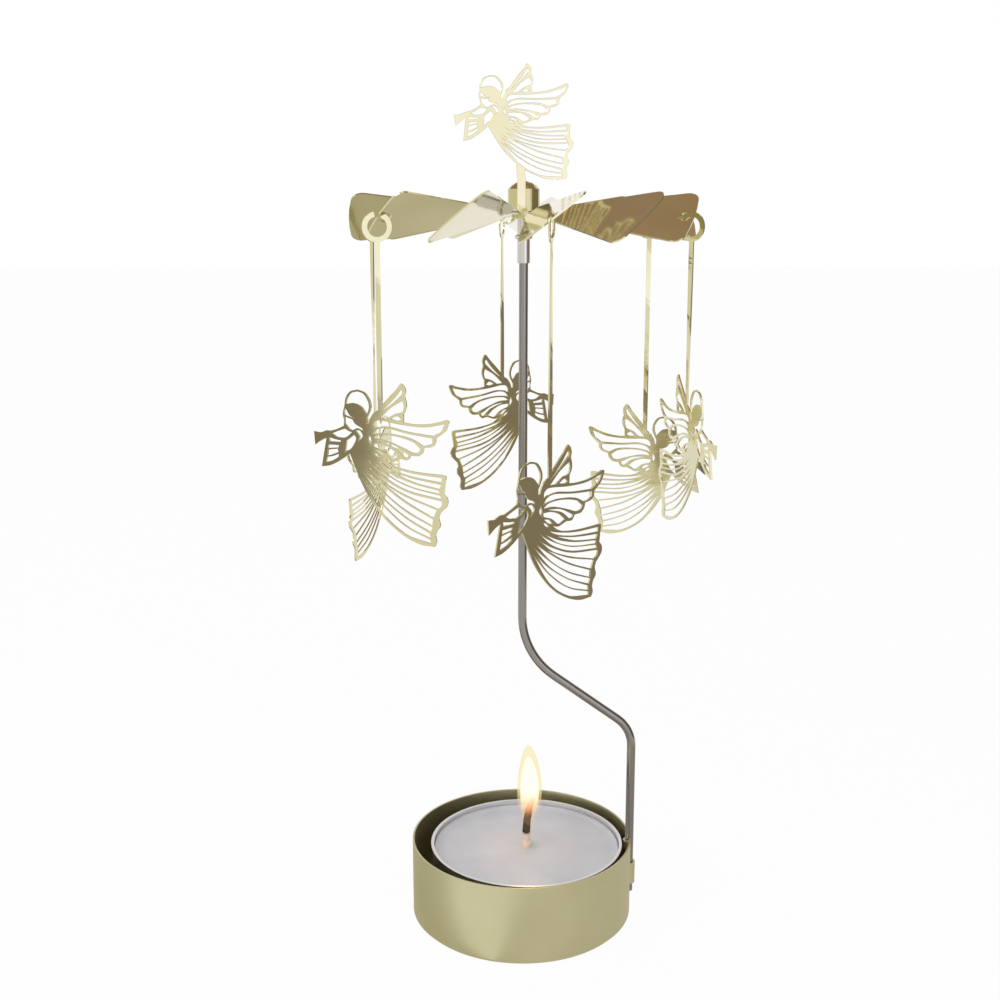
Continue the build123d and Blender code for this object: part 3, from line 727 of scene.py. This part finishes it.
# %% [markdown]
# ## Ring and stem
#
# The blades are 60 degrees apart for the six that carry an angel, the first 8 degrees to the right of
# the front. Each ring hooks over the thin bridge between its hole and the blade's end, and its stem
# twists down to the angel's plane. Both are ribbons: a rectangle carried along a line.

# %% Ring and stem
first_blade = 8.0
loop_outer, loop_strip, loop_gap, loop_turn, loop_drop = 2.6, 0.9, 0.9, 20, 0.5
loop_inner = loop_outer - loop_strip
loop_middle = loop_outer - loop_strip / 2
ring_rows, stem_rows = 49, 33


def radial(azimuth):
    """Unit vector outwards at an azimuth counted from the front, -Y, towards +X."""
    return np.array((sin(radians(azimuth)), -cos(radians(azimuth)), 0.0))


def tangent(azimuth):
    """Unit vector along the circle at an azimuth, in the way that azimuths grow."""
    return np.array((cos(radians(azimuth)), sin(radians(azimuth)), 0.0))


def ribbon(middles, acrosses, outwards, width):
    """Points and faces of a strip with a rectangular section, carried along a line.

    Corner k of row i is middle_i + s_k width across_i + t_k thickness outwards_i, with both s and t
    either -1/2 or 1/2.
    """
    sides = np.array([(-1, -1), (1, -1), (1, 1), (-1, 1)]) / 2
    points = (
        middles[:, None]
        + sides[None, :, :1] * width * acrosses[:, None]
        + sides[None, :, 1:] * sheet_thickness * outwards[:, None]
    )
    rows = len(middles)
    ends = [[3, 2, 1, 0], [4 * rows - 4, 4 * rows - 3, 4 * rows - 2, 4 * rows - 1]]
    return points.reshape(-1, 3), grid_faces(rows, 4) + ends


def stem_strip(top, bottom, azimuth, twist):
    """The stem: straight from top to bottom, its width turned by twist t t (3 - 2 t) at the way t."""
    t = np.linspace(0, 1, stem_rows)
    angles = np.radians(azimuth + 90 - loop_turn - twist * t * t * (3 - 2 * t))
    across = np.column_stack([np.cos(angles), np.sin(angles), np.zeros_like(t)])
    middle = top + (bottom - top) * t[:, None]
    return ribbon(middle, across, np.cross(across, -up), 2 * stem_half)


def open_ring(middle, along):
    """The ring: its band's middle goes round by a cosine along one level axis and a sine upwards."""
    half_gap = loop_gap / loop_middle / 2
    first, last = np.pi / 2 + half_gap, np.pi / 2 + 2 * np.pi - half_gap
    angle = np.linspace(first, last, ring_rows)[:, None]
    outwards = np.cos(angle) * along + np.sin(angle) * up
    side = np.broadcast_to(np.cross(along, up), outwards.shape)
    return ribbon(middle + loop_middle * outwards, outwards, side, loop_strip)


# %% [markdown]
# ## The six hanging angels
#
# Each pendant hangs at the hinge that the record gives for its swing. The table says how far round its
# blade is, how long its stem, and how far the angel's plane is turned from the circle's tangent. Three
# stems are long and three short, so that neighbours pass.

# %% The six hanging angels
gold = finish_by_slot["gold_sheet"]
hinges = {
    joint["name"]: np.array(joint["pos_m"]) / mm for joint in frame["joints"] if joint["type"] == "hinge"
}
pendants = {
    "angel_pendant_front": (0, 40.6, 39),
    "angel_pendant_right": (60, 31.0, 34),
    "angel_pendant_back_right": (120, 40.6, 10),
    "angel_pendant_back": (180, 31.0, 33),
    "angel_pendant_back_left": (240, 40.6, 5),
    "angel_pendant_left": (300, 31.0, 20),
}
for node, (turn, stem, angel_turn) in pendants.items():
    azimuth = first_blade + turn
    middle = hinges[node.replace("angel_pendant", "swing")] - up * (loop_inner - loop_drop)
    joint = middle - up * stem
    twist = 90 - loop_turn - angel_turn
    parts = [
        cut_sheet(figure_loops, joint, tangent(azimuth + angel_turn), up),
        open_ring(middle, radial(azimuth - loop_turn)),
        stem_strip(middle - up * loop_middle, joint + up * stub, azimuth, twist),
    ]
    name = node.replace("angel_pendant", "pierced_angel")
    piece = mesh_piece(name, *joined(parts), gold, node, smooth=False)
    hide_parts(node)
    low, high = np.array(piece.bound_box).min(0), np.array(piece.bound_box).max(0)
    print(name, "faces", len(piece.data.polygons), "box", (low / mm).round(1), (high / mm).round(1))

# %% [markdown]
# ## The angel on the hub
#
# The seventh angel is the same figure at about three quarters of the size. It leans back a little and
# stands on a strip of its own sheet, which passes in front of the hub and is bent in under the cap. It
# has no stem, so its outline skips the three runs of the stem's stub.

# %% The top angel
top_turn, top_tilt, top_step = 14.2, 7.3, 0.729
top_left, top_height = 3.45, 162.6
strip_reach, tongue_height = 3.45, 140.5
strip_left, strip_right = -2.175, -0.625
strip_foot, strip_shoulder = 140.4, 146.1
strip_thinning = 0.02
tongue_start, tongue_end = 2.4, 3.58

top_front, top_along = radial(top_turn), tangent(top_turn)
lean_along = top_along * cos(radians(top_tilt)) + up * sin(radians(top_tilt))
lean_up = up * cos(radians(top_tilt)) - top_along * sin(radians(top_tilt))
strip_loop = np.array(
    [
        (strip_left, strip_foot),
        (strip_right, strip_foot),
        (strip_right, strip_shoulder),
        (-0.83, 148.16),
        (-2.45, 149.3),
        (strip_left, strip_shoulder),
    ]
)
tongue_loop = np.array(
    [
        (strip_left, tongue_start),
        (strip_right, tongue_start),
        (strip_right, tongue_end),
        (strip_left, tongue_end),
    ]
)
closing = [[figure_outline[-2][0], figure_outline[1][0]]]
top_loops = [closed_line(figure_outline[1:-2] + closing)] + figure_loops[1:]
top_place = top_front * strip_reach - top_along * top_left + up * top_height
top_parts = [
    cut_sheet([loop * top_step for loop in top_loops], top_place, lean_along, lean_up),
    cut_sheet([strip_loop], top_front * strip_reach, top_along, up, sheet_thickness - strip_thinning),
    cut_sheet([tongue_loop], up * tongue_height, top_along, top_front),
]
top_piece = mesh_piece("pierced_angel_top", *joined(top_parts), gold, "rotor", smooth=False)
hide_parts("top_angel")
print("top angel: faces", len(top_piece.data.polygons))

# %% [markdown]
# ## The wax
#
# Wax that has melted and set creeps up its cup at the edge, and gathers in a small hill around the
# wick. Its section is turned round the tealight's axis.

# %% The wax
tealight_middle = (1.0, 0.0)
wax_wall, wax_radius, wax_level = 18.75, 18.7, 13.3
creep_height, creep_width = 0.95, 0.55
hill_height, hill_width = 0.55, 1.5


def turned_body(name, profile, centre, material, body, columns=96, sway=0.0):
    """A closed turned body from a profile of (radius, height) pairs, whose two ends are poles.

    Point (i, j) is (x + sway_i + r_i cos a_j, y + r_i sin a_j, z_i).
    """
    rows = np.array(profile, dtype=float)
    middle = centre[0] + sway + np.zeros((len(rows), 1))
    angle = np.linspace(0, 2 * np.pi, columns + 1)[:-1]
    x = middle[1:-1] + rows[1:-1, :1] * np.cos(angle)
    y = centre[1] + rows[1:-1, :1] * np.sin(angle)
    z = np.broadcast_to(rows[1:-1, 1:], x.shape)
    points = np.stack([x, y, z], -1).reshape(-1, 3)
    poles = np.array([(middle[end, 0], centre[1], rows[end, 1]) for end in (0, -1)])
    faces = closed_faces(len(rows) - 2, columns)
    return mesh_piece(name, np.vstack([points, poles]), faces, material, body)


reach = np.linspace(wax_radius, 0.0, 60)
creep = creep_height * np.exp(-((wax_wall - reach) / creep_width))
hill = hill_height * np.exp(-((reach / hill_width) ** 2))
wax_top = wax_level + creep + hill
wax_below = [(0.0, 0.7), (18.0, 0.7), (wax_radius, 1.4), (wax_wall, 8.0)]
wax_profile = wax_below + np.column_stack([reach, wax_top]).tolist()
wax_piece = turned_body("set_wax", wax_profile, tealight_middle, finish_by_slot["wax"], "tealight")
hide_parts("wax")
print("wax from", wax_below[0][1], "to", round(float(wax_top.max()), 2), "mm")

# %% [markdown]
# ## The wick
#
# The wick is a braided cord. Its strands cross, which two waves running round it in opposite ways give,
# and it bends over as it burns.

# %% The wick
cord_strokes, cord_columns = 12, 20
strands, braid_turns = 3, 40


def braided_cord(name, route, radii, material, body):
    """A closed cord: a circle carried along a route of (x, z) pairs, its radius rippled by the strands.

    At angle a and way t it is r (1 + 0.06 sin(strands a + turns t) + 0.05 sin(strands a - turns t)).
    """
    line = np.vstack([smooth_run(route, cord_strokes), route[-1:]])
    rows = len(line)
    t = np.linspace(0, 1, rows)[:, None]
    along = np.gradient(line, axis=0)
    along /= np.linalg.norm(along, axis=1, keepdims=True)
    angle = np.linspace(0, 2 * np.pi, cord_columns + 1)[:-1][None, :]
    radius = np.interp(t[:, 0], np.linspace(0, 1, len(radii)), radii)[:, None]
    right_laid = 0.06 * np.sin(strands * angle + braid_turns * t)
    left_laid = 0.05 * np.sin(strands * angle - braid_turns * t)
    ripple = radius * (1 + right_laid + left_laid)
    x = line[:, :1] + ripple * np.cos(angle) * along[:, 1:]
    z = line[:, 1:] - ripple * np.cos(angle) * along[:, :1]
    points = np.stack([x, -ripple * np.sin(angle), z], -1).reshape(-1, 3)
    poles = np.array([(line[end, 0], 0, line[end, 1]) for end in (0, -1)])
    faces = [face[::-1] for face in closed_faces(rows, cord_columns)]
    return mesh_piece(name, np.vstack([points, poles]), faces, material, body)


wick_route = np.array([(1.0, 0.9), (1.0, 13.2), (1.0, 15.2), (1.0, 17.6), (1.3, 20.6), (2.15, 24.2)])
wick_radii = [0.7, 1.25, 0.85, 0.78, 0.74, 0.5]
wick_piece = braided_cord("braided_wick", wick_route, wick_radii, finish_by_slot["wick"], "tealight")
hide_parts("wick")
print("wick to", wick_route[-1][1], "mm")

# %% [markdown]
# ## The flame
#
# A candle's flame is a drop: round at the foot, widest a third of the way up, drawn out to a point. It
# gives light and casts no shade, so its material only emits. A bright core stands in a thin, warm
# mantle, and both let the wick show through at the foot.

# %% The flame
flame_low, flame_high = 16.2, 35.7
core_low, core_high = flame_low + 1.5, flame_high - 2.6
mantle_radius, core_radius = 2.45, 1.85
flame_middle = (1.3, 0.0)
flame_sway = 0.3
thinnest = 0.05


def drop(name, low, high, widest, material):
    """A turned drop: r(t) = widest t^0.6 (1 - t)^0.62, scaled to 1 at its peak, with t up its height."""
    t = np.linspace(0, 1, 48)
    shape = t**0.6 * (1 - t) ** 0.62
    profile = np.column_stack([widest * shape / shape.max(), low + (high - low) * t])
    sway = flame_sway * np.sin(3 * t)[:, None]
    piece = turned_body(name, profile, flame_middle, material, "tealight", columns=32, sway=sway)
    piece.visible_shadow = False
    print(name, "from", round(low, 1), "to", round(high, 1), "mm")
    return piece


def flame_glow(name, foot, belly, tip, densest, strength):
    """Only gives light: its colour and how well it hides what is behind both change with height."""
    shader = Shader(name)
    rising = (shader.height() - flame_low * mm) / ((flame_high - flame_low) * mm)
    lower = shader.blend(rising.above(0.42, 0.3), foot, belly)
    shader.set(
        Base_Color=black,
        Roughness=1.0,
        Specular_IOR_Level=0.0,
        Emission_Color=shader.blend(rising.above(0.8, 0.5), lower, tip),
        Emission_Strength=strength,
        Alpha=thinnest + rising.above(0.4, 0.34) * (densest - thinnest),
    )
    return shader.material


mantle_colours = rgb(255, 214, 160), rgb(250, 234, 170), rgb(248, 236, 180)
core_colours = rgb(255, 206, 140), rgb(255, 255, 248), rgb(255, 252, 232)
mantle_glow = flame_glow("flame_mantle", *mantle_colours, densest=0.48, strength=1.0)
core_glow = flame_glow("flame_core", *core_colours, densest=1.0, strength=1.5)
mantle = drop("flame_mantle", flame_low, flame_high, mantle_radius, mantle_glow)
core = drop("flame_core", core_low, core_high, core_radius, core_glow)

# %% [markdown]
# ## Light and ground
#
# The photograph is a product shot on white. The floor and the world show white to the camera and to the
# metal's reflections, while everything else meets their real brightness. A Light Path node tells which
# kind of ray asks.


# %% White that the camera and the metal see
def seen_share(tree):
    """1 for rays that come from the camera, a mirror or glass, and 0 for all others."""
    rays = tree.nodes.new("ShaderNodeLightPath")
    share = rays.outputs["Is Camera Ray"]
    for kind in ("Is Glossy Ray", "Is Transmission Ray"):
        larger = tree.nodes.new("ShaderNodeMath")
        larger.operation = "MAXIMUM"
        tree.links.new(share, larger.inputs[0])
        tree.links.new(rays.outputs[kind], larger.inputs[1])
        share = larger.outputs[0]
    return share


def seen_or_hidden(tree, hidden, seen, surface):
    """Feeds a surface from two shaders: the seen one for camera, mirror and glass rays."""
    mix = tree.nodes.new("ShaderNodeMixShader")
    for index, source in enumerate((seen_share(tree), hidden, seen)):
        tree.links.new(source, mix.inputs[index])
    tree.links.new(mix.outputs[0], surface)


# %% [markdown]
# The floor keeps the object's soft shadow: what the camera sees there is partly the lit floor itself,
# and mostly plain white.

# %% The floor
floor_half = 4.0
floor_whiteness = 0.96

floor_shader = Shader("studio_floor")
grain = floor_shader.noise(40, detail=2)
floor_colour = floor_shader.blend(grain, rgb(240, 240, 240), rgb(244, 244, 244))
floor_shader.set(Base_Color=floor_colour, Roughness=1.0)
plain_white = floor_shader.node("ShaderNodeEmission", {}, {"Color": (1, 1, 1, 1), "Strength": 1.0})
lit = Value(floor_shader, floor_shader.base.outputs[0])
mostly_white = floor_shader.node("ShaderNodeMixShader", {}, {0: floor_whiteness, 1: lit, 2: plain_white})
floor_surface = floor_shader.output.inputs["Surface"]
seen_or_hidden(floor_shader.tree, lit.socket, mostly_white.socket, floor_surface)


def stage_sheet(name, points, material):
    """A flat rectangle of the studio, from its four corners in millimetres."""
    mesh = bpy.data.meshes.new(name)
    mesh.from_pydata((points * mm).tolist(), [], [(0, 1, 2, 3)])
    mesh.materials.append(material)
    item = in_scene(name, mesh)
    return item


floor_corners = np.array([(-1, -1, 0), (1, -1, 0), (1, 1, 0), (-1, 1, 0)]) * floor_half / mm
stage_sheet("floor", floor_corners, floor_shader.material)
print("floor:", 2 * floor_half, "m across")

# %% [markdown]
# Metal shows what stands around it. Three dim cards, to the left, to the right and overhead, stand in
# for the room around the white table. The camera doesn't see them and they light no dull surface, but
# the sheet mirrors them: the right blades turn brown from the ceiling, and the front angel olive from
# the dim side. Two more lie on the floor and stand in for the table's own shade: the left blades mirror
# it from above, and the cup's wall from beside it. They leave a pale corner free at the left in front,
# which shows as a bright band on the cup.

# %% The cards
cards = {
    "card_left": ((-400, -120, 60), (0, 80, 0), (0, 0, 116), (138, 130, 118), (160, 152, 140)),
    "card_right": ((240, 20, 168), (0, 330, 0), (0, 0, 334), (132, 122, 116), (150, 141, 134)),
    "card_overhead": ((-60, 420, 800), (1200, 0, 0), (0, 1300, 0), (160, 134, 116), (176, 152, 132)),
    "card_floor_right": ((54, 10, 0.15), (120, 0, 0), (0, 200, 0), (208, 203, 194), (214, 209, 200)),
    "card_floor_left": ((-63, 44, 0.15), (114, 0, 0), (0, 132, 0), (194, 189, 174), (202, 197, 182)),
}


def card(name, middle, across, along, low, high):
    """A cloudy card: a rectangle around its middle, spanned by two vectors, all in millimetres."""
    shader = Shader(name)
    cloudy = shader.noise(4, detail=2)
    shader.set(
        Base_Color=black,
        Roughness=1.0,
        Emission_Color=shader.blend(cloudy.above(0.5, 0.6), rgb(*low), rgb(*high)),
        Emission_Strength=1.0,
    )
    middle, across, along = np.array(middle), np.array(across) / 2, np.array(along) / 2
    corners = [-across - along, across - along, across + along, along - across]
    item = stage_sheet(name, middle + np.array(corners), shader.material)
    item.visible_camera = False
    item.visible_shadow = False
    item.visible_diffuse = False


for name, settings in cards.items():
    card(name, *settings)
print("cards:", len(cards))

# %% [markdown]
# Two soft lamps light the piece, the key from the left and above and a weak bluish fill from the right.
# The dim world fills the shadows, and a small warm lamp stands in the flame.

# %% The world and the lamps
world_strength = 0.62
aim = Vector((0, 0, 80)) * mm
candle_power, candle_colour, candle_radius = 0.0018, (1.0, 0.62, 0.3), 2 * mm
candle_place = Vector((1.3, 0, 25)) * mm

world = bpy.data.worlds.new("studio")
world.use_nodes = True
tree = world.node_tree
dim = tree.nodes["Background"]
dim.inputs["Strength"].default_value = world_strength
white = tree.nodes.new("ShaderNodeBackground")
for background in (dim, white):
    background.inputs["Color"].default_value = (1, 1, 1, 1)
seen_or_hidden(tree, dim.outputs[0], white.outputs[0], tree.nodes["World Output"].inputs["Surface"])
bpy.context.scene.world = world


def lamp(name, place, size, power, colour=(1, 1, 1)):
    """A soft square lamp, aimed at the middle of the object. Size in metres, power in watts."""
    data = bpy.data.lights.new(name, "AREA")
    data.shape = "RECTANGLE"
    data.size, data.size_y = size, size
    data.energy = power
    data.color = colour
    item = in_scene(name, data)
    item.location = Vector(place) * mm
    item.rotation_euler = (aim - item.location).to_track_quat("-Z", "Y").to_euler()


lamp("key", (-350, -350, 450), size=0.35, power=1.1)
lamp("fill", (235, -440, 213), size=0.3, power=0.12, colour=(0.8, 0.85, 1.45))

glow = bpy.data.lights.new("candle_light", "POINT")
glow.energy = candle_power
glow.color = candle_colour
glow.shadow_soft_size = candle_radius
candle_light = in_scene("candle_light", glow)
candle_light.location = candle_place
print("lamps: key, fill and candle_light")
